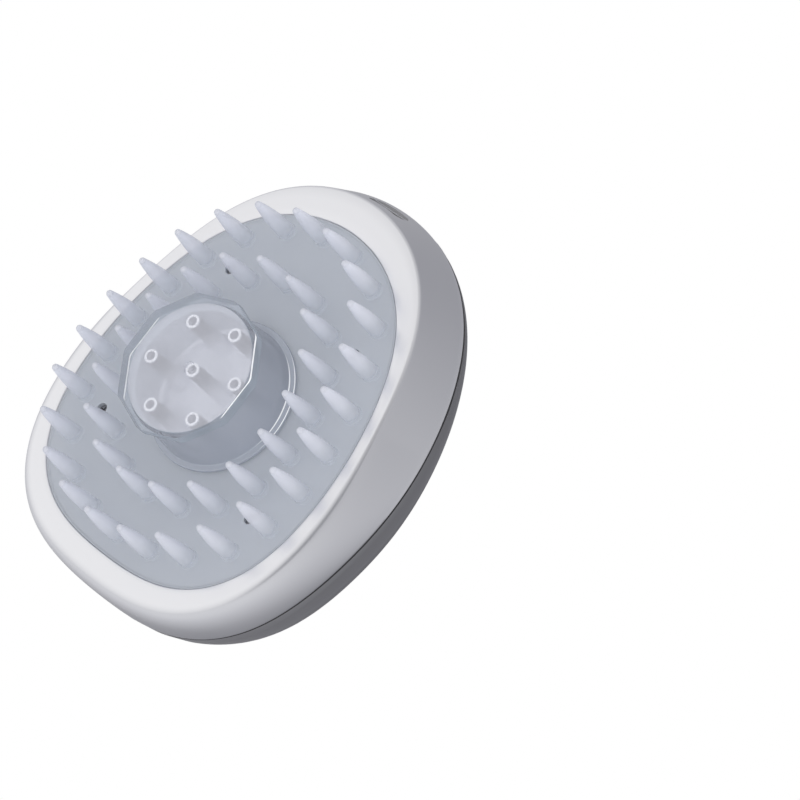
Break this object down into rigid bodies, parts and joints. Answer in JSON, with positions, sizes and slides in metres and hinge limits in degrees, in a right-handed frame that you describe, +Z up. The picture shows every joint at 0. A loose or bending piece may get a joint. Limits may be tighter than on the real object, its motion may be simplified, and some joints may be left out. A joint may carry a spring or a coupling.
{
  "type": "electric scalp oil applicator",
  "caption": "Hand-held scalp massager with a ribbed silver dome, a silicone bristle pad and ball-tipped oil nozzles under a clear push-on cap.",
  "frame": {"origin": "centre of the cap's flat end, on the nozzle axis; the device stands on this face", "axes": "+Z up through the dome, +X along the long axis towards the charging inlet"},
  "size_m": [0.0936, 0.0818, 0.059],
  "materials": {
    "base_housing": "satin silver paint",
    "seam_gasket": "matt",
    "top_cover": "satin silver paint",
    "bristles": "frosted silicone",
    "bristle_pad": "frosted silicone",
    "housing_screws": "bright",
    "nozzle_head": "satin",
    "head_seal": "matt",
    "nozzle_tubes": "bright",
    "nozzle_ball": "polished",
    "valve_springs": "bright",
    "clear_cap": "clear",
    "oil_tank": "translucent",
    "port_shell": "satin",
    "port_tongue": "matt",
    "circuit_board": "solder mask",
    "board_chips": "matt",
    "battery_tray": "matt",
    "battery": "foil",
    "vibration_motor": "satin",
    "motor_shaft": "bright",
    "eccentric_weight": "bright",
    "motor_cradle": "matt",
    "motor_strap": "satin",
    "power_button": "satin silver paint",
    "switch_plunger": "matt",
    "tact_switch": "matt",
    "switch_board": "solder mask",
    "inner_screws": "bright",
    "motor_leads": "matt",
    "battery_leads": "matt",
    "switch_leads": "matt"
  },
  "bodies": {
    "housing": {"base_housing": "base_housing", "seam_gasket": "seam_gasket", "top_cover": "top_cover", "bristles": "bristles", "bristle_pad": "bristle_pad", "housing_screws": "housing_screws", "oil_tank": "oil_tank", "port_shell": "port_shell", "port_tongue": "port_tongue", "circuit_board": "circuit_board", "board_chips": "board_chips", "battery_tray": "battery_tray", "battery": "battery", "vibration_motor": "vibration_motor", "motor_cradle": "motor_cradle", "motor_strap": "motor_strap", "tact_switch": "tact_switch", "switch_board": "switch_board", "inner_screws": "inner_screws", "motor_leads": "motor_leads", "battery_leads": "battery_leads", "switch_leads": "switch_leads"},
    "nozzle_head": {"nozzle_head": "nozzle_head", "head_seal": "head_seal", "nozzle_tubes": "nozzle_tubes", "valve_springs": "valve_springs"},
    "cap": {"clear_cap": "clear_cap"},
    "button": {"power_button": "power_button", "switch_plunger": "switch_plunger"},
    "rotor": {"motor_shaft": "motor_shaft", "eccentric_weight": "eccentric_weight"},
    "nozzle_ball_1": {"nozzle_ball_1": "nozzle_ball"},
    "nozzle_ball_2": {"nozzle_ball_2": "nozzle_ball"},
    "nozzle_ball_3": {"nozzle_ball_3": "nozzle_ball"},
    "nozzle_ball_4": {"nozzle_ball_4": "nozzle_ball"},
    "nozzle_ball_5": {"nozzle_ball_5": "nozzle_ball"},
    "nozzle_ball_6": {"nozzle_ball_6": "nozzle_ball"},
    "nozzle_ball_7": {"nozzle_ball_7": "nozzle_ball"}
  },
  "joints": [
    {"name": "head_release", "type": "slide", "parent": "housing", "child": "nozzle_head", "axis": [0, 0, -1], "range_m": [0, 0.012]},
    {"name": "cap_pull_off", "type": "slide", "parent": "nozzle_head", "child": "cap", "axis": [0, 0, -1], "range_m": [0, 0.02]},
    {"name": "button_press", "type": "slide", "parent": "housing", "child": "button", "axis": [0.8902, 0, -0.4556], "range_m": [0, 0.0005], "stiffness_N_per_m": 1500, "springref_m": -0.0004},
    {"name": "motor_spin", "type": "hinge", "parent": "housing", "child": "rotor", "pos_m": [-0.0275, 0, 0.0252], "axis": [0, 1, 0], "continuous": true},
    {"name": "nozzle_ball_1_press", "type": "slide", "parent": "nozzle_head", "child": "nozzle_ball_1", "axis": [0, 0, 1], "range_m": [0, 0.0004], "stiffness_N_per_m": 200, "springref_m": -0.0005, "deforming": ["valve_springs"]},
    {"name": "nozzle_ball_2_press", "type": "slide", "parent": "nozzle_head", "child": "nozzle_ball_2", "axis": [0, 0, 1], "range_m": [0, 0.0004], "stiffness_N_per_m": 200, "springref_m": -0.0005},
    {"name": "nozzle_ball_3_press", "type": "slide", "parent": "nozzle_head", "child": "nozzle_ball_3", "axis": [0, 0, 1], "range_m": [0, 0.0004], "stiffness_N_per_m": 200, "springref_m": -0.0005},
    {"name": "nozzle_ball_4_press", "type": "slide", "parent": "nozzle_head", "child": "nozzle_ball_4", "axis": [0, 0, 1], "range_m": [0, 0.0004], "stiffness_N_per_m": 200, "springref_m": -0.0005},
    {"name": "nozzle_ball_5_press", "type": "slide", "parent": "nozzle_head", "child": "nozzle_ball_5", "axis": [0, 0, 1], "range_m": [0, 0.0004], "stiffness_N_per_m": 200, "springref_m": -0.0005},
    {"name": "nozzle_ball_6_press", "type": "slide", "parent": "nozzle_head", "child": "nozzle_ball_6", "axis": [0, 0, 1], "range_m": [0, 0.0004], "stiffness_N_per_m": 200, "springref_m": -0.0005},
    {"name": "nozzle_ball_7_press", "type": "slide", "parent": "nozzle_head", "child": "nozzle_ball_7", "axis": [0, 0, 1], "range_m": [0, 0.0004], "stiffness_N_per_m": 200, "springref_m": -0.0005}
  ]
}
